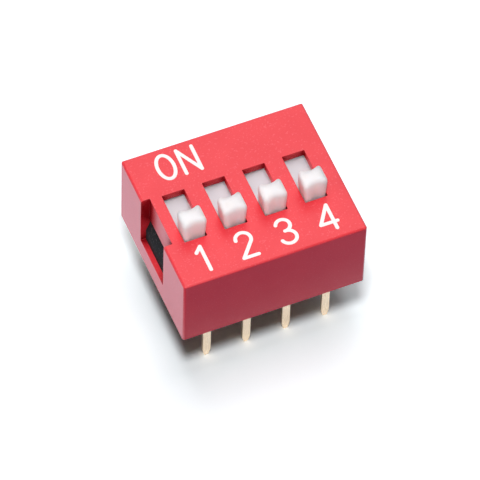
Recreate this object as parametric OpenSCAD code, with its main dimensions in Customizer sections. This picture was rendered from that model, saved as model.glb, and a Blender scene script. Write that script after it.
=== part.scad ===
// Slide dip switch: a clip-on cover over a moulded base, with one slider and one
// bridging wiper for each switch and a formed terminal at each end of it.
// The origin is the centre of the pin grid on the seating plane. +X runs along the
// row to the last switch, +Y points to the side on which a knob is on, +Z is up.
// The sliders stand at the off end of their slots.

/* [Switch row] */
// Number of switches in the row
positions = 4; // [2:1:8]
// Distance from one switch to the next
pitch = 2.54; // [2.4:0.02:3]
// From a long face of the cover to the middle of the legs along it
row_inset = 1.08; // [0.9:0.01:1.4]

/* [Cover] */
// Width of the cover across the row
body_w = 9.78; // [9.6:0.02:11]
// Height of the cover above the seating plane
body_h = 5.39; // [5.2:0.01:6.5]
// From the middle of the last switch to the end face
end_margin = 1.97; // [1.92:0.01:2.6]
// Thickness of the top wall
top_wall = 0.55; // [0.4:0.05:0.8]
// Thickness of the two long walls
side_wall = 0.6; // [0.4:0.05:0.65]
// Thickness of the end walls below the windows
end_wall = 0.65; // [0.6:0.01:0.75]
// Size of the chamfer on the outer edges
edge_break = 0.1; // [0.05:0.01:0.25]

/* [End openings] */
// Width of the notch beside the first switch and of the window for each hook
notch_w = 3.48; // [2.5:0.02:5]
// Depth of the notch into the end face
notch_d = 0.55; // [0.4:0.01:0.65]
// Height of the ledge that a snap hook catches on
ledge_h = 1.47; // [1:0.01:1.8]
// Height of the top edge of the windows over the hooks
window_top = 3.38; // [3:0.01:3.8]

/* [Knobs] */
// Width of a knob along the row, in its slot
knob_w = 1.32; // [1:0.02:1.6]
// Length of a knob along its travel
knob_l = 1.25; // [1:0.01:1.5]
// Height of a knob above the cover
knob_h = 1.56; // [0.6:0.02:2]
// Rise of a knob's top from its rounded edge to its middle
knob_crown = 0.03; // [0.02:0.01:0.08]
// How far each side of a knob leans out from the cover to its top
knob_flare = 0.08; // [0:0.01:0.15]
// Depth of the hollow in the front and rear of a knob
knob_scoop = 0.13; // [0.05:0.01:0.2]
// How far the rounding of a knob's top edges reaches in
knob_round = 0.17; // [0.06:0.01:0.18]
// How far the rounding of a knob's top edges reaches down
knob_shoulder = 0.38; // [0.1:0.01:0.5]
// Rounding of a knob's upright edges
knob_corner = 0.19; // [0.19:0.01:0.3]
// Distance from the off position to the on position
knob_travel = 2.2; // [1.8:0.01:2.25]
// Distance of the slots' middle from the middle of the cover
slot_y = -0.13; // [-0.15:0.01:0.15]
// Clearance round a knob in its slot
knob_gap = 0.05; // [0.03:0.01:0.12]

/* [Sliders] */
// Thickness of the plate that closes the slot from below
plate_t = 0.6; // [0.4:0.05:0.8]
// Width of the carriage under the plate
carriage_w = 1.6; // [1.3:0.05:1.9]
// Length of the carriage along its travel
carriage_l = 2.4; // [1.8:0.1:3]
// Height of the carriage under the plate
carriage_h = 0.95; // [0.6:0.05:1.2]
// Diameter of the peg that carries the wiper
peg_d = 0.5; // [0.4:0.02:0.7]
// Running clearance of a slider in its channel
slide_gap = 0.05; // [0.03:0.01:0.1]

/* [Base] */
// Height of the underside above the seating plane
base_recess = 0.2; // [0.1:0.05:0.4]
// Height of the floor that the wipers run on
floor_top = 1.85; // [1.6:0.05:2.1]
// Thickness of the walls between the channels
partition_t = 0.36; // [0.25:0.01:0.4]
// Thickness of the snap tongues
tongue_t = 0.27; // [0.2:0.01:0.29]
// Breadth of a tongue on each side of its hook
tongue_margin = 0.35; // [0.2:0.05:0.6]
// Distance of the hook's outer face behind the end face
hook_setback = 0.32; // [0.2:0.01:0.5]
// Height of the hook's upright face
hook_face_h = 0.9; // [0.5:0.05:1.2]
// Clearance between pieces that are fitted together
fit_gap = 0.03; // [0.02:0.005:0.05]

/* [Terminals] */
// Thickness of the terminal strip
strip_t = 0.22; // [0.18:0.01:0.3]
// Width of a contact pad
pad_w = 1.2; // [1:0.05:1.6]
// How far a pad reaches past the wiper's foot
pad_past = 0.4; // [0.25:0.05:0.5]
// Width of a leg
leg_w = 0.5; // [0.4:0.02:0.8]
// Length of a leg below the seating plane
leg_l = 3.88; // [3:0.02:4.5]
// Height above the seating plane at which a leg widens
shoulder_h = 0.9; // [0.5:0.05:1.1]
// Width of a leg at its tip
tip_w = 0.28; // [0.2:0.02:0.36]
// Length of the taper at the tip
tip_l = 0.5; // [0.3:0.05:0.8]
// Inner radius of the bend from leg to pad
bend_r = 0.15; // [0.1:0.01:0.25]

/* [Wipers] */
// Thickness of the wiper strip
wiper_t = 0.12; // [0.08:0.01:0.18]
// Width of a wiper
wiper_w = 1.2; // [1:0.05:1.5]
// Length of the flat crown under the carriage
crown_l = 1.5; // [1.2:0.05:1.8]
// Distance between the middles of the two feet
foot_span = 3.4; // [3:0.05:3.6]
// Length of the flat of a foot
foot_l = 0.24; // [0.15:0.01:0.4]
// Length and rise of the upturned toe
toe = 0.26; // [0.15:0.01:0.35]
// Width of the gap between the two prongs of a leg
fork_gap = 0.24; // [0.15:0.01:0.4]
// Gap under a foot
contact_gap = 0.02; // [0.01:0.005:0.05]

/* [Hidden] */
$fn = 48;
// margin by which a cut runs past the face it opens
past = 1;
// straight steps in each arc of an outline
arc_steps = 5;

red = [0.93, 0.27, 0.30];
black = [0.13, 0.11, 0.12];
white = [0.95, 0.95, 0.94];
pale_gold = [0.86, 0.77, 0.60];
spring_gold = [0.82, 0.66, 0.34];

// overall sizes of the cover and of its two-step cavity, and the distance between
// the two rows of legs
row_l = (positions - 1) * pitch;
row_spacing = body_w - 2 * row_inset;
body_l = row_l + 2 * end_margin;
cavity_w = body_w - 2 * side_wall;
cavity_top = body_h - top_wall;
channel_w = pitch - partition_t;
upper_cavity_l = row_l + channel_w;
lower_cavity_l = body_l - 2 * end_wall;

// slots, knobs and slider plates
slot_w = knob_w + 2 * knob_gap;
slot_l = knob_l + knob_travel + 2 * knob_gap;
plate_w = channel_w - 2 * slide_gap;
plate_l = cavity_w - 2 * abs(slot_y) - knob_travel - 2 * slide_gap;
plate_top = cavity_top - slide_gap;
carriage_top = plate_top - plate_t;
carriage_foot = carriage_top - carriage_h;
off_y = slot_y - knob_travel / 2;

// base
base_l = lower_cavity_l - 2 * fit_gap;
base_w = cavity_w - 2 * fit_gap;
partition_top = cavity_top - fit_gap;
tongue_top = window_top - fit_gap;
hook_w = notch_w - 2 * fit_gap;
hook_x = body_l / 2 - hook_setback;
hook_foot = ledge_h + fit_gap;

// terminals: the front pad reaches past the front foot at on, the rear pad stops
// short of the rear foot at off
front_pad_end = slot_y + knob_travel / 2 - foot_span / 2 + pad_past;
rear_pad_end = slot_y + knob_travel / 2 + foot_span / 2 - pad_past;
front_reach = row_spacing / 2 + front_pad_end;
rear_reach = row_spacing / 2 - rear_pad_end;

// Place of switch i along the row, counted from 1.
function switch_x(i) = (i - 1) * pitch - row_l / 2;

// Points on an arc about c with radius r, from angle a0 to angle a1.
function arc(c, r, a0, a1, steps = arc_steps) =
    [for (i = [0:steps]) let (a = a0 + (a1 - a0) * i / steps) c + r * [cos(a), sin(a)]];

// Rectangle about the origin with cut corners.
function cut_corners(l, w, c) = [
    [-l / 2 + c, -w / 2], [l / 2 - c, -w / 2], [l / 2, -w / 2 + c], [l / 2, w / 2 - c],
    [l / 2 - c, w / 2], [-l / 2 + c, w / 2], [-l / 2, w / 2 - c], [-l / 2, -w / 2 + c]
];

// Upright section from the seating plane with its two top corners cut.
function cut_top(w, h, c) = [
    [-w / 2, 0], [w / 2, 0], [w / 2, h - c], [w / 2 - c, h], [-w / 2 + c, h], [-w / 2, h - c]
];

// One edge of a strip whose middle line is path, at distance d to its left.
function strip_edge(path, d) = [
    for (i = [0:len(path) - 1])
        let (
            before = path[max(i, 1)] - path[max(i, 1) - 1],
            after = path[min(i, len(path) - 2) + 1] - path[min(i, len(path) - 2)],
            n = [-before[1], before[0]] / norm(before),
            m = n + [-after[1], after[0]] / norm(after)
        )
        path[i] + m * d / (m * n)
];

// Outline of a strip of thickness t along path.
function strip(path, t) =
    let (right = strip_edge(path, -t / 2))
    concat(strip_edge(path, t / 2), [for (i = [len(path) - 1:-1:0]) right[i]]);

// Extrudes a [y, z] profile along X, centred on x = 0.
module along_x(l) {
    rotate([90, 0, 90])
        linear_extrude(l, center = true)
            children();
}

// Extrudes an [x, z] profile along Y, centred on y = 0.
module along_y(l) {
    rotate([90, 0, 0])
        linear_extrude(l, center = true)
            children();
}

// Box of l by w about the Z axis between two heights.
module block(l, w, z0, z1) {
    translate([-l / 2, -w / 2, z0])
        cube([l, w, z1 - z0]);
}

// Puts a child at both ends of the row, facing outwards.
module at_both_ends() {
    for (turn = [0, 180])
        rotate(turn)
            children();
}

// Outer form of the cover with its edges broken.
module cover_block() {
    intersection() {
        linear_extrude(body_h)
            polygon(cut_corners(body_l, body_w, edge_break));
        along_y(body_w)
            polygon(cut_top(body_l, body_h, edge_break));
        along_x(body_l)
            polygon(cut_top(body_w, body_h, edge_break));
    }
}

// Notch beside the first switch: open at the top, it runs down to the hook's ledge.
module first_notch() {
    translate([-body_l / 2 - past, -notch_w / 2, ledge_h])
        cube([notch_d + past, notch_w, body_h - ledge_h + past]);
}

// Window through an end wall, in which the snap hook catches.
module end_window() {
    inner = upper_cavity_l / 2 - past;
    translate([inner, -notch_w / 2, ledge_h])
        cube([body_l / 2 + past - inner, notch_w, window_top - ledge_h]);
}

module cover() {
    color(red)
        difference() {
            cover_block();
            block(upper_cavity_l, cavity_w, -past, cavity_top);
            block(lower_cavity_l, cavity_w, -past, window_top);
            for (i = [1:positions])
                translate([switch_x(i), slot_y, 0])
                    block(slot_w, slot_l, cavity_top - past, body_h + past);
            first_notch();
            at_both_ends()
                end_window();
        }
}

// Tongue that stands at the end of the base and carries the snap hook.
module snap_tongue() {
    outer = base_l / 2;
    along_y(hook_w + 2 * tongue_margin)
        polygon([
            [outer - tongue_t, base_recess], [outer, base_recess],
            [outer, tongue_top], [outer - tongue_t, tongue_top]
        ]);
    along_y(hook_w)
        polygon([
            [outer - tongue_t, hook_foot], [hook_x, hook_foot],
            [hook_x, hook_foot + hook_face_h], [outer, tongue_top], [outer - tongue_t, tongue_top]
        ]);
}

module base() {
    color(black)
        difference() {
            union() {
                block(base_l, base_w, base_recess, floor_top);
                for (i = [1:positions - 1])
                    translate([switch_x(i) + pitch / 2, 0, 0])
                        block(partition_t, base_w, base_recess, partition_top);
                at_both_ends()
                    snap_tongue();
            }
            for (i = [1:2 * positions])
                at_terminal(i)
                    terminal_form(reach(i), fit_gap);
        }
}

// First quarter of a knob's plan, set in by d all round: from the middle of the hollow
// front, along its arc and round the upright edge to the side.
function knob_quarter(d) =
    let (
        corner = [knob_w / 2, -knob_l / 2] + knob_corner * [-1, 1],
        centres = (corner[0] * corner[0] + knob_scoop * knob_scoop) / (2 * knob_scoop),
        hollow_r = centres - knob_corner,
        hollow = [0, knob_scoop - knob_l / 2 - hollow_r],
        meet = acos(corner[0] / centres),
        front = arc(hollow, hollow_r + d, 90, meet),
        edge = arc(corner, knob_corner - d, meet - 180, 0)
    )
    concat(front, [for (i = [1:arc_steps]) edge[i]]);

// Whole plan of a knob, set in by d all round, counter-clockwise.
function knob_ring(d) =
    let (q = knob_quarter(d), last = len(q) - 1)
    concat(
        q,
        [for (i = [last:-1:0]) [q[i][0], -q[i][1]]],
        [for (i = [1:last]) [-q[i][0], -q[i][1]]],
        [for (i = [last:-1:1]) [-q[i][0], q[i][1]]]
    );

// Knob lofted through rings: upright in its slot, flared above it, rounded at the top and
// closed by a slight crown. A level is the ring's inset, its height and its growth in width.
module knob() {
    rim = body_h + knob_h - knob_crown;
    wide = 1 + 2 * knob_flare / knob_w;
    levels = concat(
        [[0, plate_top - plate_t / 2, 1], [0, body_h, 1]],
        [
            for (a = [0:90 / arc_steps:90])
                [knob_round * (1 - cos(a)), rim + knob_shoulder * (sin(a) - 1), wide]
        ]
    );
    rings = [
        for (level = levels)
            [for (q = knob_ring(level[0])) [q[0] * level[2], q[1], level[1]]]
    ];
    count = len(rings[0]);
    last = len(rings) - 1;
    tip = len(rings) * count;
    polyhedron(
        points = concat([for (ring = rings) each ring], [[0, 0, rim + knob_crown]]),
        faces = concat(
            [[for (i = [0:count - 1]) i]],
            [
                for (k = [0:last - 1], i = [0:count - 1])
                    let (j = (i + 1) % count)
                    [k * count + i, (k + 1) * count + i, (k + 1) * count + j, k * count + j]
            ],
            [for (i = [0:count - 1]) [last * count + i, tip, last * count + (i + 1) % count]]
        )
    );
}

module slider(i) {
    color(white)
        translate([switch_x(i), off_y, 0]) {
            knob();
            block(plate_w, plate_l, carriage_top, plate_top);
            block(carriage_w, carriage_l, carriage_foot, carriage_top);
            translate([0, 0, carriage_foot - wiper_t - peg_d / 4])
                cylinder(h = wiper_t + peg_d / 4 + carriage_h, d = peg_d);
        }
}

// Half of the wiper's middle line as [y, z], from the crown's end to the toe.
function wiper_leg() =
    let (crown_z = carriage_foot - wiper_t / 2, foot_z = floor_top + contact_gap + wiper_t / 2)
    [
        [crown_l / 2, crown_z],
        [foot_span / 2 - foot_l / 2, foot_z],
        [foot_span / 2 + foot_l / 2, foot_z],
        [foot_span / 2 + foot_l / 2 + toe, foot_z + toe]
    ];

function wiper_path() =
    let (leg = wiper_leg())
    concat([for (i = [len(leg) - 1:-1:0]) [-leg[i][0], leg[i][1]]], leg);

module wiper(i) {
    fork_l = foot_span / 2 + foot_l / 2 + 2 * toe - crown_l / 2;
    color(spring_gold)
        translate([switch_x(i), off_y, 0])
            difference() {
                along_x(wiper_w)
                    polygon(strip(wiper_path(), wiper_t));
                for (side = [-1, 1])
                    translate([0, side * (crown_l / 2 + wiper_t + fork_l / 2), 0])
                        block(fork_gap, fork_l, floor_top, carriage_foot);
                translate([0, 0, carriage_foot - wiper_t - past])
                    cylinder(h = wiper_t + 2 * past, d = peg_d + 2 * fit_gap);
            }
}

// Inward reach of terminal i from its leg: the first half of the numbers is in front.
function reach(i) = i <= positions ? front_reach : rear_reach;

// Terminals count along the front row and back along the rear row.
module at_terminal(i) {
    if (i <= positions)
        translate([switch_x(i), -row_spacing / 2, 0])
            children();
    else
        translate([switch_x(2 * positions + 1 - i), row_spacing / 2, 0])
            rotate(180)
                children();
}

// Side view of a terminal as [inward, z]: a leg bent over into a pad. The strip is
// thicker by g on every face for the seat in the base.
function terminal_side(inward, g) =
    let (
        outer = -strip_t / 2 - g,
        inner = strip_t / 2 + g,
        top = floor_top + g,
        under = floor_top - strip_t - g,
        r = bend_r - g,
        big_r = bend_r + strip_t + g
    )
    concat(
        [[inner, -leg_l - g], [outer, -leg_l - g]],
        arc([outer + big_r, top - big_r], big_r, 180, 90),
        [[inward + g, top], [inward + g, under]],
        arc([inner + r, under - r], r, 90, 180)
    );

// Front view of a terminal as [x, z]: tapered tip, leg, shoulder and pad.
function terminal_front(g) =
    let (
        half = [
            [tip_w / 2 + g, -leg_l - g],
            [leg_w / 2 + g, -leg_l + tip_l],
            [leg_w / 2 + g, shoulder_h - g],
            [pad_w / 2 + g, shoulder_h - g],
            [pad_w / 2 + g, floor_top + past]
        ]
    )
    concat(half, [for (i = [len(half) - 1:-1:0]) [-half[i][0], half[i][1]]]);

module terminal_form(inward, g = 0) {
    intersection() {
        along_x(pad_w + 2 * g + past)
            polygon(terminal_side(inward, g));
        along_y(2 * row_spacing)
            polygon(terminal_front(g));
    }
}

module terminal(i) {
    color(pale_gold)
        at_terminal(i)
            terminal_form(reach(i));
}

cover();
base();
for (i = [1:positions]) {
    slider(i);
    wiper(i);
}
for (i = [1:2 * positions])
    terminal(i);
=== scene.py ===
"""Looks of a four-way slide dip switch, dressed around its CAD frame.

The CAD solids keep their form: modifiers break their edges and procedural finishes
cover them. The legend on the cover is made here as thin raised ink. Blender's units are
metres; sizes of the part are written in millimetres and turned to metres by MM.
"""

import logging
import math
from dataclasses import dataclass
from enum import Enum

import bmesh
import bpy
from mathutils import Matrix, Vector
from mathutils.geometry import delaunay_2d_cdt


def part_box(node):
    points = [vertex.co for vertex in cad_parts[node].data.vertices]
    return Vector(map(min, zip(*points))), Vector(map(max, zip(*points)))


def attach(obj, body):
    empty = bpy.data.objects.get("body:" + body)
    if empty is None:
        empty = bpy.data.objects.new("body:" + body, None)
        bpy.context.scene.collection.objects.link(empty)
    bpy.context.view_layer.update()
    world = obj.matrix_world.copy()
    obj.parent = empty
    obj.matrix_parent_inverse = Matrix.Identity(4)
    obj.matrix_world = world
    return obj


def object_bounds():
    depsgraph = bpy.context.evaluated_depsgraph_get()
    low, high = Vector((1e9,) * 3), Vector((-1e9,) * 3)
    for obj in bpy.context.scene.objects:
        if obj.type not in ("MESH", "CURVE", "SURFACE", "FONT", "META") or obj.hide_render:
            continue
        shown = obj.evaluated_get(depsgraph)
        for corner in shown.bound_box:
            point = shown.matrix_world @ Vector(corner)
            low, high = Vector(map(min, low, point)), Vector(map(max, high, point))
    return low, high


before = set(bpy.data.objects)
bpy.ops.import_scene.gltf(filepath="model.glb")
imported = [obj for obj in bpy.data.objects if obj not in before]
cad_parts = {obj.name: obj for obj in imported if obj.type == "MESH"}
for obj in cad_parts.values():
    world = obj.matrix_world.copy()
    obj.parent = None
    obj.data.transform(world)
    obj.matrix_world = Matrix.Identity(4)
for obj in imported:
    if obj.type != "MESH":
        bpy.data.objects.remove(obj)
CAD_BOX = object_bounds()
COVER_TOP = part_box("cover")[1].z

MM = 0.001
LOG = logging.getLogger("dip_switch")

Colour = tuple[float, float, float]
Span = tuple[float, float]
Point = tuple[float, float]
Stroke = list[Point]
Socket = bpy.types.NodeSocket
Value = float | Colour | Socket


class Run(Enum):
    """Direction in which the drawing lines of a strip run, as a stretch of the noise."""

    UPRIGHT = (1.0, 1.0, 0.04)
    ALONG_TRAVEL = (1.0, 0.04, 1.0)


class NodeTree:
    """Small helper that adds and links nodes in a material or a node group.

    A Mix node keeps its two colours and their mixture at MIX_COLOURS and MIX_RESULT.
    """

    MIX_COLOURS = slice(6, 8)
    MIX_RESULT = 2

    def __init__(self, tree: bpy.types.NodeTree) -> None:
        """Keeps the tree and removes its first nodes."""
        self.tree = tree
        tree.nodes.clear()

    def add(self, kind: str, **settings: object) -> bpy.types.Node:
        """Adds a node.

        Args:
            kind: Blender's name of the node's type.
            settings: properties of the node to set.

        Returns:
            The new node.
        """
        node = self.tree.nodes.new(kind)
        for name, value in settings.items():
            setattr(node, name, value)
        return node

    def link(self, source: Socket, target: Socket) -> None:
        """Links an output to an input."""
        self.tree.links.new(source, target)

    def feed(self, target: Socket, value: Value) -> None:
        """Sets or links an input.

        Args:
            target: the input.
            value: a number, a colour or the output to link to it.
        """
        if isinstance(value, Socket):
            self.link(value, target)
        elif isinstance(value, tuple):
            target.default_value = (*value, 1.0)
        else:
            target.default_value = value

    def math(self, operation: str, *values: Value) -> Socket:
        """Adds a Math node.

        Args:
            operation: name of the operation.
            values: its inputs in order, each a number or a socket.

        Returns:
            The node's output.
        """
        node = self.add("ShaderNodeMath", operation=operation)
        for target, value in zip(node.inputs, values):
            self.feed(target, value)
        return node.outputs[0]

    def noise(self, vector: Socket, scale: Value, detail: float) -> Socket:
        """Adds a noise texture.

        Args:
            vector: coordinates in millimetres.
            scale: cells per millimetre, a number or a socket.
            detail: octaves of the noise.

        Returns:
            The noise value, about 0.5 in the mean.
        """
        node = self.add("ShaderNodeTexNoise")
        self.link(vector, node.inputs["Vector"])
        self.feed(node.inputs["Scale"], scale)
        self.feed(node.inputs["Detail"], detail)
        return node.outputs["Fac"]

    def spread(
        self, value: Socket, span: Span, to_low: Value = 0.0, to_high: Value = 1.0
    ) -> Socket:
        """Maps a value from one range to another, held at both ends.

        Args:
            value: socket to map.
            span: start and end of the first range.
            to_low: result at its start, a number or a socket.
            to_high: result at its end, a number or a socket.

        Returns:
            The mapped value.
        """
        node = self.add("ShaderNodeMapRange")
        self.link(value, node.inputs["Value"])
        names = ("From Min", "From Max", "To Min", "To Max")
        for name, end in zip(names, (*span, to_low, to_high)):
            self.feed(node.inputs[name], end)
        return node.outputs["Result"]

    def mix(self, factor: Socket, first: Value, second: Value) -> Socket:
        """Mixes two colours.

        Args:
            factor: share of the second colour.
            first: colour at 0, three numbers or a socket.
            second: colour at 1, three numbers or a socket.

        Returns:
            The mixed colour.
        """
        node = self.add("ShaderNodeMix", data_type="RGBA")
        self.link(factor, node.inputs["Factor"])
        for target, colour in zip(node.inputs[self.MIX_COLOURS], (first, second)):
            self.feed(target, colour)
        return node.outputs[self.MIX_RESULT]

    def millimetres(self) -> Socket:
        """Adds the object's coordinates.

        Returns:
            The coordinates in millimetres.
        """
        place = self.add("ShaderNodeTexCoord")
        scaled = self.add("ShaderNodeVectorMath", operation="SCALE")
        scaled.inputs["Scale"].default_value = 1 / MM
        self.link(place.outputs["Object"], scaled.inputs[0])
        return scaled.outputs["Vector"]

    def along(self, axis: str) -> Socket:
        """Adds one of the object's coordinates.

        Args:
            axis: X, Y or Z.

        Returns:
            The coordinate in millimetres.
        """
        place = self.add("ShaderNodeSeparateXYZ")
        self.link(self.millimetres(), place.inputs["Vector"])
        return place.outputs[axis]

    def show(self, shader: Socket, output: str = "ShaderNodeOutputMaterial") -> None:
        """Ends the tree with a shader as its surface.

        Args:
            shader: output of the shader.
            output: Blender's name of the closing node's type.
        """
        self.link(shader, self.add(output).inputs["Surface"])


def new_material(name: str) -> tuple[bpy.types.Material, NodeTree]:
    """Makes an empty material.

    Args:
        name: its name.

    Returns:
        The material and its tree.
    """
    material = bpy.data.materials.new(name)
    material.use_nodes = True
    return material, NodeTree(material.node_tree)


class SurfaceGroup:
    """Shader node group shared by several finishes."""

    name = ""
    inputs: dict[str, float | Colour] = {}
    outputs: tuple[tuple[str, str], ...] = ()

    def tree(self) -> bpy.types.NodeTree:
        """Finds the group's tree, or builds it on first use.

        Returns:
            The tree.
        """
        found = bpy.data.node_groups.get(self.name)
        if found:
            return found
        tree = bpy.data.node_groups.new(self.name, "ShaderNodeTree")
        nodes = NodeTree(tree)
        for name, value in self.inputs.items():
            kind = "NodeSocketColor" if isinstance(value, tuple) else "NodeSocketFloat"
            socket = tree.interface.new_socket(name, in_out="INPUT", socket_type=kind)
            nodes.feed(socket, value)
        for name, kind in self.outputs:
            tree.interface.new_socket(name, in_out="OUTPUT", socket_type=kind)
        given = nodes.add("NodeGroupInput").outputs
        result = nodes.add("NodeGroupOutput").inputs
        for name, value in self.wire(nodes, given).items():
            nodes.link(value, result[name])
        return tree

    def wire(self, nodes: NodeTree, given: bpy.types.NodeOutputs) -> dict[str, Socket]:
        """Builds what is inside the group; each group has its own.

        Args:
            nodes: tree of the group.
            given: the group's inputs.

        Returns:
            What goes to each of the group's outputs.
        """
        raise NotImplementedError

    def place(self, nodes: NodeTree, **values: Value) -> bpy.types.Node:
        """Places the group in a material.

        Args:
            nodes: tree of the material.
            values: its inputs, with spaces in their names written as underscores.

        Returns:
            The group's node.
        """
        node = nodes.add("ShaderNodeGroup", node_tree=self.tree())
        for name, value in values.items():
            nodes.feed(node.inputs[name.replace("_", " ").capitalize()], value)
        return node


class MouldGrain(SurfaceGroup):
    """Fine spark-eroded grain of a moulded face, with slow flow marks and pale specks.

    Scales are cells per millimetre, spans are values of the noise.
    """

    name = "mould_grain"
    inputs = {
        "Tone": (0.5, 0.5, 0.5),
        "Flow tone": (0.5, 0.5, 0.5),
        "Speck tone": (0.8, 0.8, 0.8),
        "Grain scale": 14.0,
        "Speck share": 0.3,
        "Gloss low": 0.35,
        "Gloss high": 0.5,
    }
    outputs = (
        ("Colour", "NodeSocketColor"),
        ("Roughness", "NodeSocketFloat"),
        ("Height", "NodeSocketFloat"),
    )
    flow_scale = 0.55
    flow_span = (0.35, 0.68)
    flow_height = 0.35
    speck_scale = 9.0
    speck_span = (0.60, 0.74)
    gloss_span = (0.3, 0.7)

    def wire(self, nodes: NodeTree, given: bpy.types.NodeOutputs) -> dict[str, Socket]:
        """Mixes the tones by slow flow and fine specks, and gives the grain as height.

        Args:
            nodes: tree of the group.
            given: the group's inputs.

        Returns:
            What goes to each of the group's outputs.
        """
        place = nodes.millimetres()
        flow = nodes.noise(place, self.flow_scale, detail=3.0)
        grain = nodes.noise(place, given["Grain scale"], detail=2.0)
        specks = nodes.noise(place, self.speck_scale, detail=1.0)
        flowed = nodes.spread(flow, self.flow_span)
        tone = nodes.mix(flowed, given["Tone"], given["Flow tone"])
        share = nodes.spread(specks, self.speck_span, to_high=given["Speck share"])
        wave = nodes.math("MULTIPLY", flow, self.flow_height)
        return {
            "Colour": nodes.mix(share, tone, given["Speck tone"]),
            "Roughness": nodes.spread(
                grain, self.gloss_span, given["Gloss low"], given["Gloss high"]
            ),
            "Height": nodes.math("ADD", grain, wave),
        }


class EdgeRub(SurfaceGroup):
    """Lighter tone where handling has rubbed the edges."""

    name = "edge_rub"
    inputs = {
        "Colour": (0.5, 0.5, 0.5),
        "Rubbed tone": (0.7, 0.7, 0.7),
        "Width": 0.06 * MM,
        "Strength": 0.5,
    }
    outputs = (("Colour", "NodeSocketColor"),)
    samples = 4
    edge_span = (0.995, 0.86)
    patch_scale = 1.7
    patch_span = (0.38, 0.62)
    patch_least = 0.25

    def wire(self, nodes: NodeTree, given: bpy.types.NodeOutputs) -> dict[str, Socket]:
        """Finds edges where a rounded normal leaves the true one, broken up by noise.

        Args:
            nodes: tree of the group.
            given: the group's inputs.

        Returns:
            What goes to each of the group's outputs.
        """
        rounded = nodes.add("ShaderNodeBevel", samples=self.samples)
        nodes.link(given["Width"], rounded.inputs["Radius"])
        true = nodes.add("ShaderNodeNewGeometry")
        dot = nodes.add("ShaderNodeVectorMath", operation="DOT_PRODUCT")
        nodes.link(rounded.outputs["Normal"], dot.inputs[0])
        nodes.link(true.outputs["Normal"], dot.inputs[1])
        edge = nodes.spread(dot.outputs["Value"], self.edge_span)
        patches = nodes.noise(nodes.millimetres(), self.patch_scale, detail=4.0)
        worn = nodes.spread(patches, self.patch_span, to_low=self.patch_least)
        mask = nodes.math("MULTIPLY", nodes.math("MULTIPLY", edge, worn), given["Strength"])
        return {"Colour": nodes.mix(mask, given["Colour"], given["Rubbed tone"])}


class RecessShade(SurfaceGroup):
    """Painted shade: a darker tone in slots and corners, where the piece's own faces close in.
    """

    name = "recess_shade"
    inputs = {
        "Colour": (0.5, 0.5, 0.5),
        "Recess tone": (0.2, 0.2, 0.2),
        "Reach": 1.2 * MM,
        "Strength": 0.5,
    }
    outputs = (("Colour", "NodeSocketColor"), ("Mask", "NodeSocketFloat"))
    samples = 8
    free_span = (0.97, 0.72)

    def wire(self, nodes: NodeTree, given: bpy.types.NodeOutputs) -> dict[str, Socket]:
        """Paints shade in closed-in places, found by how much of the space before them is free.

        Args:
            nodes: tree of the group.
            given: the group's inputs.

        Returns:
            What goes to each of the group's outputs.
        """
        # Painted shade: the colour darkens where the piece's own faces close in the space
        # before it.
        free = nodes.add("ShaderNodeAmbientOcclusion", samples=self.samples, only_local=True)
        nodes.link(given["Reach"], free.inputs["Distance"])
        closed = nodes.spread(free.outputs["AO"], self.free_span, to_high=given["Strength"])
        shaded = nodes.mix(closed, given["Colour"], given["Recess tone"])
        return {"Colour": shaded, "Mask": closed}


class DrawnStrip(SurfaceGroup):
    """Rolled and drawn metal strip: fine lines one way and a slow change of plating tone.

    Scales are cells per millimetre, spans are values of the noise.
    """

    name = "drawn_strip"
    inputs = {
        "Tone": (0.8, 0.7, 0.5),
        "Worn tone": (0.7, 0.6, 0.4),
        "Across": 1.0,
        "Along travel": 1.0,
        "Upright": 1.0,
        "Gloss low": 0.2,
        "Gloss high": 0.4,
    }
    outputs = (
        ("Colour", "NodeSocketColor"),
        ("Roughness", "NodeSocketFloat"),
        ("Height", "NodeSocketFloat"),
    )
    line_scale = 28.0
    patina_scale = 1.4
    patina_span = (0.4, 0.72)
    gloss_span = (0.3, 0.7)

    def wire(self, nodes: NodeTree, given: bpy.types.NodeOutputs) -> dict[str, Socket]:
        """Stretches noise along the strip for the lines and mixes the two tones slowly.

        Args:
            nodes: tree of the group.
            given: the group's inputs.

        Returns:
            What goes to each of the group's outputs.
        """
        place = nodes.millimetres()
        stretch = nodes.add("ShaderNodeCombineXYZ")
        for target, name in zip(stretch.inputs, ("Across", "Along travel", "Upright")):
            nodes.link(given[name], target)
        stretched = nodes.add("ShaderNodeVectorMath", operation="MULTIPLY")
        nodes.link(place, stretched.inputs[0])
        nodes.link(stretch.outputs["Vector"], stretched.inputs[1])
        lines = nodes.noise(stretched.outputs["Vector"], self.line_scale, detail=3.0)
        patina = nodes.noise(place, self.patina_scale, detail=3.0)
        worn = nodes.spread(patina, self.patina_span)
        return {
            "Colour": nodes.mix(worn, given["Tone"], given["Worn tone"]),
            "Roughness": nodes.spread(
                lines, self.gloss_span, given["Gloss low"], given["Gloss high"]
            ),
            "Height": lines,
        }


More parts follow.
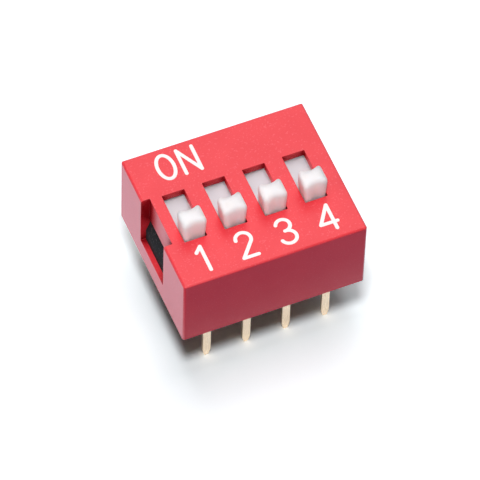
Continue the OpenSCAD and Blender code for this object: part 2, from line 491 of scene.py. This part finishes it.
@dataclass(frozen=True)
class MouldedPlastic:
    """Finish of a moulded plastic piece.

    Attributes:
        name: name of the material.
        tone: main colour, linear.
        flow_tone: colour of the slow flow marks.
        rubbed_tone: colour of rubbed edges.
        speck_tone: colour of the fine specks.
        speck_share: how much a speck shows.
        gloss: lowest and highest roughness.
        grain_scale: grain cells per millimetre.
        grain_depth: depth of the grain in millimetres.
        rub: strength of the rubbed edges.
        recess_tone: colour of the painted shade in closed-in places.
        recess: strength of that painted shade.
        slot_shade_tone: colour of the painted shade below the cover's face, where the slot
            shades the slider.
        slot_shade: strength of that painted shade.
        slot_shade_fade: height over which it sets in, in millimetres.
        soft_edge: radius over which edges look rounded, in millimetres.
        soft_samples: rays that find that rounding.
        ior: refractive index.
        specular: level of the surface reflection, 0.5 as the index gives it.
        skin: weight of the polished skin, which fades out under the painted-shade mask, so
            recesses also lose their reflection.
        glow: share of light that scatters under the surface.
        glow_depth: depth of that scatter in millimetres.
        glow_reach: share of that depth that red, green and blue light reach.
    """

    name: str
    tone: Colour
    flow_tone: Colour
    rubbed_tone: Colour
    speck_tone: Colour
    speck_share: float
    gloss: Span
    grain_scale: float
    grain_depth: float
    rub: float
    recess_tone: Colour = (0.1, 0.1, 0.1)
    recess: float = 0.0
    slot_shade_tone: Colour = (0.5, 0.5, 0.5)
    slot_shade: float = 0.0
    slot_shade_fade: float = 0.3
    soft_edge: float = 0.0
    soft_samples: int = 8
    ior: float = 1.5
    specular: float = 0.5
    skin: float = 0.0
    glow: float = 0.0
    glow_depth: float = 0.3
    glow_reach: Colour = (1.0, 0.92, 0.85)

    def material(self) -> bpy.types.Material:
        """Builds the material.

        Returns:
            The new material.
        """
        material, nodes = new_material(self.name)
        grain = MouldGrain().place(
            nodes,
            tone=self.tone,
            flow_tone=self.flow_tone,
            speck_tone=self.speck_tone,
            speck_share=self.speck_share,
            grain_scale=self.grain_scale,
            gloss_low=self.gloss[0],
            gloss_high=self.gloss[1],
        )
        shader = nodes.add("ShaderNodeBsdfPrincipled")
        shader.inputs["IOR"].default_value = self.ior
        shader.inputs["Specular IOR Level"].default_value = self.specular
        if self.glow:
            shader.inputs["Subsurface Weight"].default_value = self.glow
            shader.inputs["Subsurface Radius"].default_value = self.glow_reach
            shader.inputs["Subsurface Scale"].default_value = self.glow_depth * MM
        colour = self.colour(nodes, grain.outputs["Colour"], shader)
        nodes.link(colour, shader.inputs["Base Color"])
        nodes.link(grain.outputs["Roughness"], shader.inputs["Roughness"])
        normal = self.normal(nodes, grain.outputs["Height"])
        nodes.link(normal, shader.inputs["Normal"])
        nodes.show(shader.outputs["BSDF"])
        return material

    def colour(self, nodes: NodeTree, grained: Socket, shader: bpy.types.Node) -> Socket:
        """Adds rubbed edges and painted shade in recesses and below the cover's face to the
        colour of the moulding.

        Args:
            nodes: tree of the material.
            grained: colour of the plain face.
            shader: shader whose skin fades out where the shade is painted.

        Returns:
            The colour.
        """
        rub = EdgeRub().place(
            nodes, colour=grained, rubbed_tone=self.rubbed_tone, strength=self.rub
        )
        colour = rub.outputs["Colour"]
        if self.recess:
            # Painted shade: occlusion darkens slots and corners, and its mask also takes away
            # the coat there.
            shade = RecessShade().place(
                nodes, colour=colour, recess_tone=self.recess_tone, strength=self.recess
            )
            colour = shade.outputs["Colour"]
            skin = nodes.spread(shade.outputs["Mask"], (0.0, self.recess), self.skin, 0.0)
            nodes.link(skin, shader.inputs["Coat Weight"])
            shader.inputs["Coat IOR"].default_value = self.ior
            shader.inputs["Coat Roughness"].default_value = sum(self.gloss) / 2
        if self.slot_shade:
            # Painted shade: the colour darkens below the cover's face, where the slot shades
            # the slider.
            face = COVER_TOP / MM
            slot_shade_film = nodes.spread(
                nodes.along("Z"), (face, face - self.slot_shade_fade), to_high=self.slot_shade
            )
            colour = nodes.mix(slot_shade_film, colour, self.slot_shade_tone)
        return colour

    def normal(self, nodes: NodeTree, height: Socket) -> Socket:
        """Adds the grain and the softened edges.

        Args:
            nodes: tree of the material.
            height: height of the grain.

        Returns:
            The normal.
        """
        bump = nodes.add("ShaderNodeBump")
        bump.inputs["Distance"].default_value = self.grain_depth * MM
        nodes.link(height, bump.inputs["Height"])
        if self.soft_edge:
            rounded = nodes.add("ShaderNodeBevel", samples=self.soft_samples)
            rounded.inputs["Radius"].default_value = self.soft_edge * MM
            nodes.link(rounded.outputs["Normal"], bump.inputs["Normal"])
        return bump.outputs["Normal"]


@dataclass(frozen=True)
class PlatedStrip:
    """Finish of a plated metal strip.

    Attributes:
        name: name of the material.
        tone: colour of the plating, linear.
        worn_tone: colour where the plating is thin.
        gloss: lowest and highest roughness.
        run: direction of the drawing lines.
        line_depth: depth of the lines in millimetres.
    """

    name: str
    tone: Colour
    worn_tone: Colour
    gloss: Span
    run: Run
    line_depth: float

    def material(self) -> bpy.types.Material:
        """Builds the material.

        Returns:
            The new material.
        """
        material, nodes = new_material(self.name)
        across, along, upright = self.run.value
        strip = DrawnStrip().place(
            nodes,
            tone=self.tone,
            worn_tone=self.worn_tone,
            across=across,
            along_travel=along,
            upright=upright,
            gloss_low=self.gloss[0],
            gloss_high=self.gloss[1],
        )
        bump = nodes.add("ShaderNodeBump")
        bump.inputs["Distance"].default_value = self.line_depth * MM
        nodes.link(strip.outputs["Height"], bump.inputs["Height"])
        shader = nodes.add("ShaderNodeBsdfPrincipled")
        shader.inputs["Metallic"].default_value = 1.0
        nodes.link(strip.outputs["Colour"], shader.inputs["Base Color"])
        nodes.link(strip.outputs["Roughness"], shader.inputs["Roughness"])
        nodes.link(bump.outputs["Normal"], shader.inputs["Normal"])
        nodes.show(shader.outputs["BSDF"])
        return material


RED_COVER = MouldedPlastic(
    name="cover_red_moulded",
    tone=(0.75, 0.022, 0.036),
    flow_tone=(0.78, 0.028, 0.042),
    rubbed_tone=(0.93, 0.16, 0.17),
    speck_tone=(0.92, 0.20, 0.24),
    speck_share=0.24,
    gloss=(0.28, 0.40),
    grain_scale=15.0,
    grain_depth=0.002,
    rub=0.45,
    # Painted shade in slots and corners, with no coat there.
    recess_tone=(0.20, 0.003, 0.006),
    recess=0.95,
    specular=0.0,
    skin=1.0,
)
BLACK_BASE = MouldedPlastic(
    name="base_black_moulded",
    tone=(0.009, 0.0085, 0.0095),
    flow_tone=(0.013, 0.012, 0.0135),
    rubbed_tone=(0.075, 0.066, 0.072),
    speck_tone=(0.16, 0.15, 0.15),
    speck_share=0.35,
    gloss=(0.60, 0.75),
    grain_scale=13.0,
    grain_depth=0.004,
    rub=0.5,
    specular=0.06,
)
WHITE_SLIDER = MouldedPlastic(
    name="slider_white_acetal",
    tone=(0.97, 0.968, 0.962),
    flow_tone=(0.96, 0.96, 0.957),
    rubbed_tone=(0.96, 0.955, 0.945),
    speck_tone=(0.86, 0.85, 0.83),
    speck_share=0.15,
    gloss=(0.34, 0.46),
    grain_scale=11.0,
    grain_depth=0.002,
    rub=0.3,
    # Painted shade on the slider below the cover's face.
    slot_shade_tone=(0.66, 0.66, 0.73),
    slot_shade=0.65,
    soft_edge=0.5,
    ior=1.48,
    specular=0.2,
    glow=1.0,
    glow_depth=1.3,
)
WHITE_INK = MouldedPlastic(
    name="print_white_ink",
    tone=(0.90, 0.885, 0.875),
    flow_tone=(0.86, 0.84, 0.83),
    rubbed_tone=(0.88, 0.80, 0.79),
    speck_tone=(0.88, 0.62, 0.62),
    speck_share=0.25,
    gloss=(0.42, 0.58),
    grain_scale=20.0,
    grain_depth=0.002,
    rub=0.35,
)
GOLD_TERMINAL = PlatedStrip(
    name="terminal_pale_gold",
    tone=(0.82, 0.66, 0.45),
    worn_tone=(0.77, 0.60, 0.39),
    gloss=(0.24, 0.40),
    run=Run.UPRIGHT,
    line_depth=0.0012,
)
GOLD_WIPER = PlatedStrip(
    name="wiper_spring_gold",
    tone=(0.83, 0.58, 0.24),
    worn_tone=(0.72, 0.47, 0.20),
    gloss=(0.20, 0.34),
    run=Run.ALONG_TRAVEL,
    line_depth=0.001,
)


def smooth_faces(mesh: bpy.types.Mesh) -> None:
    """Shades every face of a mesh as smooth."""
    mesh.polygons.foreach_set("use_smooth", [True] * len(mesh.polygons))


def soften_edges(
    piece: bpy.types.Object, width: float, steps: int, angle: float
) -> bpy.types.BevelModifier:
    """Rounds the edges of a piece by a modifier.

    Args:
        piece: the piece.
        width: width of the rounding in millimetres.
        steps: segments across it.
        angle: least angle of an edge that is rounded, in degrees.

    Returns:
        The modifier.
    """
    soft = piece.modifiers.new("soft_edges", "BEVEL")
    soft.width = width * MM
    soft.segments = steps
    soft.limit_method = "ANGLE"
    soft.angle_limit = math.radians(angle)
    return soft


@dataclass
class PieceSet:
    """CAD nodes that share a finish and an edge softness.

    Attributes:
        title: plain name for the log.
        nodes: names of the CAD nodes.
        finish: finish that they get.
        edge: width of the softened edges in millimetres.
        edge_steps: segments across a softened edge.
        weld: distance within which the corners of faces are one, in millimetres.
        edge_angle: least angle of an edge that is softened, in degrees.
    """

    title: str
    nodes: tuple[str, ...]
    finish: MouldedPlastic | PlatedStrip
    edge: float
    edge_steps: int = 3
    weld: float = 0.0001
    edge_angle: float = 32.0

    def build(self) -> None:
        """Joins the faces of each node and softens its edges by modifiers."""
        for name in self.nodes:
            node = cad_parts[name]
            smooth_faces(node.data)
            weld = node.modifiers.new("joined_faces", "WELD")
            weld.merge_threshold = self.weld * MM
            soften_edges(node, self.edge, self.edge_steps, self.edge_angle)
            shading = node.modifiers.new("even_faces", "WEIGHTED_NORMAL")
            shading.keep_sharp = True

    def dress(self) -> None:
        """Puts the finish on each node."""
        material = self.finish.material()
        for name in self.nodes:
            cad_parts[name].material_slots[0].material = material
            LOG.info("%s: %s in %s", self.title, name, material.name)


@dataclass
class Glyph:
    """One printed sign.

    Attributes:
        name: name of the piece.
        left: lowest x of the ink, in millimetres.
        width: extent of the ink along the row.
        foot: lowest y of the ink.
        height: extent of the ink across the row.
        strokes: middle lines of the strokes, with 0 to 1 over the sign's width and height.
    """

    name: str
    left: float
    width: float
    foot: float
    height: float
    strokes: list[Stroke]


def bow(centre: Point, radii: Point, start: float, end: float, steps: int = 24) -> Stroke:
    """Points along part of an ellipse.

    Args:
        centre: middle of the ellipse.
        radii: its two radii.
        start: first angle in degrees.
        end: last angle in degrees.
        steps: straight pieces along it.

    Returns:
        The points in order.
    """
    (x, y), (wide, high) = centre, radii
    angles = [math.radians(start + (end - start) * i / steps) for i in range(steps + 1)]
    return [(x + wide * math.cos(a), y + high * math.sin(a)) for a in angles]


@dataclass
class Legend:
    """White pad print on the cover: the word over the on side and a number under each knob.

    Lengths are in millimetres and angles in degrees.

    Attributes:
        stroke: width of a stroke.
        ink: height of the ink above the cover.
        sunk: how far the ink reaches into the cover's grain.
        ring_steps: straight pieces in a closed ring.
        cap_steps: straight pieces in the round end of a stroke.
        soft_edge: rounding of the ink's edges.
        edge_steps: segments across that rounding.
        edge_angle: least angle of an edge that is rounded.
        merge: distance within which crossing strokes meet in one point.
        weld: edges of the outline shorter than this are closed up.
        flat_angle: faces and edges that turn by less than this are joined.
        word_foot: lowest y of the word.
        word_height: height of the word's letters.
        digit_foot: lowest y of the numbers.
        digit_height: height of the numbers.
    """

    stroke: float = 0.225
    ink: float = 0.014
    sunk: float = 0.006
    ring_steps: int = 48
    cap_steps: int = 12
    soft_edge: float = 0.008
    edge_steps: int = 2
    edge_angle: float = 50.0
    merge: float = 0.006
    weld: float = 0.012
    flat_angle: float = 1.0
    word_foot: float = 2.50
    word_height: float = 1.97
    digit_foot: float = -4.35
    digit_height: float = 1.97

    def glyphs(self) -> list[Glyph]:
        """Lists the signs in reading order.

        Returns:
            The signs with their strokes.
        """
        word = {"foot": self.word_foot, "height": self.word_height}
        digit = {"foot": self.digit_foot, "height": self.digit_height}
        ring = bow((0.5, 0.5), (0.5, 0.5), 0, 360, self.ring_steps)
        neck = bow((0.5, 0.735), (0.5, 0.265), 178, -32)
        upper_bowl = bow((0.48, 0.762), (0.45, 0.238), 162, -92)
        lower_bowl = bow((0.5, 0.262), (0.5, 0.262), 96, -162)
        stem, bar = 0.79, 0.28
        strokes_n = [[(0, 0), (0, 1)], [(0, 1), (1, 0)], [(1, 0), (1, 1)]]
        strokes_1 = [[(0, 0.78), (1, 1)], [(1, 1), (1, 0)]]
        strokes_2 = [neck + [(0, 0)], [(0, 0), (1, 0)]]
        strokes_4 = [[(stem, 1), (0, bar)], [(0, bar), (1, bar)], [(stem, 1), (stem, 0)]]
        return [
            Glyph("legend_o", left=-4.11, width=1.23, **word, strokes=[ring]),
            Glyph("legend_n", left=-2.64, width=1.20, **word, strokes=strokes_n),
            Glyph("legend_1", left=-4.29, width=0.59, **digit, strokes=strokes_1),
            Glyph("legend_2", left=-1.85, width=1.15, **digit, strokes=strokes_2),
            Glyph("legend_3", left=0.67, width=1.18, **digit, strokes=[upper_bowl, lower_bowl]),
            Glyph("legend_4", left=3.19, width=1.28, **digit, strokes=strokes_4),
        ]

    def middle_line(self, glyph: Glyph, stroke: Stroke) -> list[Vector]:
        """Turns a stroke of a sign into millimetres on the cover.

        Args:
            glyph: the sign.
            stroke: its stroke, 0 to 1.

        Returns:
            Points of the stroke's middle line.
        """
        half = self.stroke / 2
        wide, high = glyph.width - self.stroke, glyph.height - self.stroke
        return [
            Vector((glyph.left + half + x * wide, glyph.foot + half + y * high))
            for x, y in stroke
        ]

    def ribbon(self, line: list[Vector]) -> tuple[list[Vector], list[list[int]]]:
        """Covers one stroke with flat faces.

        Args:
            line: points of its middle line; a line that ends where it starts is a ring.

        Returns:
            The points of the stroke's edges, and the faces as numbers of points.
        """
        closed = (line[0] - line[-1]).length < self.merge
        points = line[:-1] if closed else line
        count = len(points)
        left, right = [], []
        for i, point in enumerate(points):
            before = point - points[i - 1] if closed or i else points[1] - point
            after = points[(i + 1) % count] - point if closed or i < count - 1 else before
            run = (before.normalized() + after.normalized()).normalized()
            side = Vector((-run.y, run.x)) * self.stroke / 2 / run.dot(after.normalized())
            left.append(point + side)
            right.append(point - side)
        outline = left + right
        follow = [(i, (i + 1) % count) for i in range(count if closed else count - 1)]
        faces = [[i, count + i, count + j, j] for i, j in follow]
        if not closed:
            far = self.cap(points[-1], points[-2])
            near = self.cap(points[0], points[1])
            ends = range(len(outline), len(outline) + len(far) + len(near))
            faces.append([2 * count - 1, *ends[:len(far)], count - 1])
            faces.append([0, *ends[len(far):], count])
            outline += far + near
        return outline, faces

    def cap(self, end: Vector, inner: Vector) -> list[Vector]:
        """Points of the round end of a stroke, between its two corners.

        Args:
            end: last point of the middle line.
            inner: the point before it.

        Returns:
            The points, counter-clockwise.
        """
        out = (end - inner).normalized() * self.stroke / 2
        turns = [math.pi * (k / self.cap_steps - 0.5) for k in range(1, self.cap_steps)]
        return [end + Matrix.Rotation(turn, 2) @ out for turn in turns]

    def sign_mesh(self, glyph: Glyph) -> bpy.types.Mesh:
        """Merges the strokes of a sign in the plane and raises them to a layer of ink.

        Args:
            glyph: the sign.

        Returns:
            The mesh, in millimetres, with its foot at -sunk and its top at ink.
        """
        points, covers = [], []
        for stroke in glyph.strokes:
            outline, faces = self.ribbon(self.middle_line(glyph, stroke))
            covers += [[len(points) + k for k in face] for face in faces]
            points += outline
        all_triangles = 0
        spots, _, parts, _, _, origins = delaunay_2d_cdt(
            points, [], covers, all_triangles, self.merge
        )
        shape = bmesh.new()
        corners = [shape.verts.new((*spot, self.ink)) for spot in spots]
        for part, origin in zip(parts, origins):
            if origin:
                shape.faces.new([corners[k] for k in part])
        loose = [corner for corner in corners if not corner.link_faces]
        bmesh.ops.delete(shape, geom=loose, context="VERTS")
        bmesh.ops.remove_doubles(shape, verts=shape.verts, dist=self.weld)
        flat = math.radians(self.flat_angle)
        bmesh.ops.dissolve_limit(shape, angle_limit=flat, verts=shape.verts, edges=shape.edges)
        self.thicken(shape)
        mesh = bpy.data.meshes.new(glyph.name)
        shape.to_mesh(mesh)
        shape.free()
        return mesh

    def thicken(self, shape: bmesh.types.BMesh) -> None:
        """Adds the foot and the sides to the flat top of a sign.

        Args:
            shape: the top, which becomes a closed layer.
        """
        tops = shape.faces[:]
        loops = [loop for top in tops for loop in top.loops if loop.edge.is_boundary]
        rim = [(loop.vert, loop.link_loop_next.vert) for loop in loops]
        drop = Vector((0.0, 0.0, -self.ink - self.sunk))
        feet = {corner: shape.verts.new(corner.co + drop) for corner in shape.verts[:]}
        for top in tops:
            shape.faces.new([feet[corner] for corner in reversed(top.verts[:])])
        for start, end in rim:
            shape.faces.new((feet[start], feet[end], end, start))

    def build(self) -> list[bpy.types.Object]:
        """Builds each sign as one piece on the cover's top.

        Returns:
            The pieces.
        """
        pieces = []
        for glyph in self.glyphs():
            sign = bpy.data.objects.new(glyph.name, self.sign_mesh(glyph))
            bpy.context.scene.collection.objects.link(sign)
            sign.data.transform(Matrix.Translation((0, 0, COVER_TOP)) @ Matrix.Scale(MM, 4))
            smooth_faces(sign.data)
            soft = soften_edges(sign, self.soft_edge, self.edge_steps, self.edge_angle)
            soft.harden_normals = True
            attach(sign, "housing")
            pieces.append(sign)
        return pieces

    def dress(self, pieces: list[bpy.types.Object]) -> None:
        """Puts the ink's finish on the signs.

        Args:
            pieces: the signs.
        """
        material = WHITE_INK.material()
        for piece in pieces:
            piece.data.materials.clear()
            piece.data.materials.append(material)
            LOG.info("legend: %s in %s", piece.name, material.name)


def direction(azimuth: float, height: float) -> Vector:
    """Turns two angles into a direction from the object.

    Args:
        azimuth: degrees about the upright, 0 at the front and 90 to the right.
        height: degrees above the floor.

    Returns:
        The direction, of length 1.
    """
    turn, lift = math.radians(azimuth), math.radians(height)
    level = math.cos(lift)
    return Vector((math.sin(turn) * level, -math.cos(turn) * level, math.sin(lift)))


@dataclass
class Softbox:
    """Square area lamp that faces the object.

    Attributes:
        name: name of the lamp.
        azimuth: direction from the object in degrees, 0 at the front and 90 to the right.
        height: angle above the floor in degrees.
        size: side of the square in metres.
        level: light that it puts on a face turned to it, where 1 shows a colour as written.
        distance: distance from the object in metres.
        lights_floor: whether its light falls on the floor too.
    """

    name: str
    azimuth: float
    height: float
    size: float
    level: float
    distance: float = 0.5
    lights_floor: bool = True

    def build(self, aim: Vector, floor: bpy.types.Object) -> None:
        """Makes the lamp.

        Args:
            aim: point that it faces.
            floor: the floor, which a fill lamp can spare.
        """
        lamp = bpy.data.lights.new(self.name, "AREA")
        lamp.shape = "SQUARE"
        lamp.size = self.size
        lamp.energy = self.level * (math.pi * self.distance) ** 2
        away = direction(self.azimuth, self.height)
        holder = bpy.data.objects.new(self.name, lamp)
        holder.location = aim + away * self.distance
        holder.rotation_euler = away.to_track_quat("Z", "Y").to_euler()
        bpy.context.scene.collection.objects.link(holder)
        if not self.lights_floor:
            spared = bpy.data.collections.new(self.name + "_spares")
            spared.objects.link(floor)
            spared.collection_objects[0].light_linking.link_state = "EXCLUDE"
            holder.light_linking.receiver_collection = spared
        LOG.info("lamp: %s", self.name)


@dataclass
class Studio:
    """Pale floor, soft lamps, surroundings and camera.

    Attributes:
        floor_radius: radius of the round floor in metres.
        floor_steps: straight pieces of its rim.
        floor_tone: colour of the floor for the light that it gives back.
        shown_tone: colour of the floor as the camera sees it.
        painted_reflection_tone: colour of the floor as mirrors see it, brighter than white and
            bluer, a painted reflection that lifts the sheen on the part.
        painted_dim_reflection_tone: darker colour of the floor's front as mirrors see it, a
            painted reflection that dims the sheen on the part's front.
        painted_dim_reflection_span: y at which that darker front starts and ends changing, in
            millimetres.
        sky_tone: colour of the surroundings.
        fill: strength of the surroundings on the object.
        azimuth: camera's direction in degrees, 0 at the front, positive to the right.
        elevation: camera's angle above the floor in degrees.
        roll: camera's turn about its own axis in degrees.
        aim: point in the middle of the picture, in millimetres.
        distance: distance of the camera from that point in millimetres.
        lens: focal length in millimetres on the sensor.
        sensor: width of the sensor in millimetres.
        clip: nearest and farthest distance that the camera sees, in metres.
    """

    floor_radius: float = 0.9
    floor_steps: int = 96
    floor_tone: Colour = (0.10, 0.10, 0.14)
    shown_tone: Colour = (1.25, 1.32, 1.36)
    painted_reflection_tone: Colour = (1.50, 1.62, 1.85)
    painted_dim_reflection_tone: Colour = (0.38, 0.41, 0.70)
    painted_dim_reflection_span: Span = (-6.5, -8.5)
    sky_tone: Colour = (1.0, 1.0, 1.0)
    fill: float = 0.03
    azimuth: float = -24.35
    elevation: float = 54.93
    roll: float = 2.09
    aim: tuple[float, float, float] = (-0.69, -1.22, 2.7)
    distance: float = 318.3
    lens: float = 406.9
    sensor: float = 36.0
    clip: Span = (0.01, 10.0)

    def lamps(self) -> list[Softbox]:
        """Lists the lamps of the studio.

        Returns:
            The lamps.
        """
        spare = {"size": 0.3, "lights_floor": False}
        return [
            Softbox("key_softbox", azimuth=-28, height=71, size=0.09, level=0.52),
            Softbox("top_softbox", azimuth=175, height=82, size=0.22, level=0.26),
            Softbox("rear_softbox", azimuth=157, height=55, size=0.35, level=0.21),
            Softbox("front_fill", azimuth=-10, height=30, level=0.22, **spare),
            Softbox("left_fill", azimuth=-90, height=20, level=0.32, **spare),
        ]

    def background_share(self, nodes: NodeTree) -> Socket:
        """Adds the test for rays that see the background directly or in a mirror.

        Args:
            nodes: tree of the floor or the world.

        Returns:
            1 for camera, glossy and transmission rays, otherwise 0.
        """
        ray = nodes.add("ShaderNodeLightPath")
        seen = nodes.math("MAXIMUM", ray.outputs["Is Camera Ray"], ray.outputs["Is Glossy Ray"])
        return nodes.math("MAXIMUM", seen, ray.outputs["Is Transmission Ray"])

    def floor_material(self) -> bpy.types.Material:
        """Builds the floor's material, clear when seen from below.

        Returns:
            The new material.
        """
        material, nodes = new_material("floor_pale")
        # Painted reflection: mirrors see the floor brighter than white and bluer, and darker
        # towards the front.
        front = nodes.spread(nodes.along("Y"), self.painted_dim_reflection_span)
        painted_reflection = nodes.mix(front, self.painted_reflection_tone, self.painted_dim_reflection_tone)
        ray = nodes.add("ShaderNodeLightPath")
        shown = nodes.mix(ray.outputs["Is Camera Ray"], painted_reflection, self.shown_tone)
        tone = nodes.mix(self.background_share(nodes), self.floor_tone, shown)
        paper = nodes.add("ShaderNodeBsdfDiffuse")
        nodes.link(tone, paper.inputs["Color"])
        clear = nodes.add("ShaderNodeBsdfTransparent")
        side = nodes.add("ShaderNodeNewGeometry")
        sheet = nodes.add("ShaderNodeMixShader")
        nodes.link(side.outputs["Backfacing"], sheet.inputs["Fac"])
        nodes.link(paper.outputs["BSDF"], sheet.inputs[1])
        nodes.link(clear.outputs["BSDF"], sheet.inputs[2])
        nodes.show(sheet.outputs["Shader"])
        return material

    def build_floor(self) -> bpy.types.Object:
        """Makes the round floor under the tips of the legs.

        Returns:
            The floor.
        """
        shape = bmesh.new()
        bmesh.ops.create_circle(
            shape, cap_ends=True, segments=self.floor_steps, radius=self.floor_radius
        )
        mesh = bpy.data.meshes.new("floor")
        shape.to_mesh(mesh)
        shape.free()
        floor = bpy.data.objects.new("floor", mesh)
        floor.location.z = CAD_BOX[0].z
        bpy.context.scene.collection.objects.link(floor)
        floor.data.materials.append(self.floor_material())
        LOG.info("stage: floor")
        return floor

    def build_world(self) -> None:
        """Makes even surroundings, white where they are seen and dim where they light."""
        world = bpy.data.worlds.new("surroundings")
        bpy.context.scene.world = world
        world.use_nodes = True
        nodes = NodeTree(world.node_tree)
        strength = nodes.spread(self.background_share(nodes), (0.0, 1.0), to_low=self.fill)
        sky = nodes.add("ShaderNodeBackground")
        nodes.feed(sky.inputs["Color"], self.sky_tone)
        nodes.link(strength, sky.inputs["Strength"])
        nodes.show(sky.outputs["Background"], "ShaderNodeOutputWorld")

    def build_camera(self) -> None:
        """Puts the camera where the photograph was taken from."""
        turn, roll = math.radians(self.azimuth), math.radians(self.roll)
        back = direction(self.azimuth, self.elevation)
        level = Vector((math.cos(turn), math.sin(turn), 0))
        upright = back.cross(level)
        right = level * math.cos(roll) + upright * math.sin(roll)
        up = upright * math.cos(roll) - level * math.sin(roll)
        data = bpy.data.cameras.new("camera")
        data.sensor_width = self.sensor
        data.lens = self.lens
        data.clip_start, data.clip_end = self.clip
        camera = bpy.data.objects.new("camera", data)
        place = (Vector(self.aim) + back * self.distance) * MM
        axes = Matrix((right, up, back)).transposed().to_4x4()
        camera.matrix_world = Matrix.Translation(place) @ axes
        bpy.context.scene.collection.objects.link(camera)
        bpy.context.scene.camera = camera
        LOG.info("camera: %.1f mm lens", self.lens)

    def build(self) -> None:
        """Builds the whole studio."""
        bpy.context.scene.view_settings.view_transform = "Standard"
        floor = self.build_floor()
        self.build_world()
        for lamp in self.lamps():
            lamp.build(Vector(self.aim) * MM, floor)
        self.build_camera()


def numbered(stem: str) -> tuple[str, ...]:
    """Returns the names of the CAD nodes with this stem and a number, in order."""
    names = [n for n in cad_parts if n.startswith(stem + "_")]
    return tuple(sorted(names))


def main() -> None:
    """Builds and dresses every piece, then the studio."""
    logging.basicConfig(level=logging.INFO, format="%(name)s: %(message)s")
    piece_sets = [
        PieceSet("cover", ("cover",), RED_COVER, edge=0.035),
        PieceSet("base", ("base",), BLACK_BASE, edge=0.03),
        PieceSet("sliders", numbered("slider"), WHITE_SLIDER, edge=0.03),
        PieceSet("terminals", numbered("terminal"), GOLD_TERMINAL, edge=0.025),
        PieceSet("wipers", numbered("wiper"), GOLD_WIPER, edge=0.012, edge_steps=2),
    ]
    for piece_set in piece_sets:
        piece_set.build()
        piece_set.dress()
    legend = Legend()
    legend.dress(legend.build())
    Studio().build()


if __name__ == "__main__":
    main()
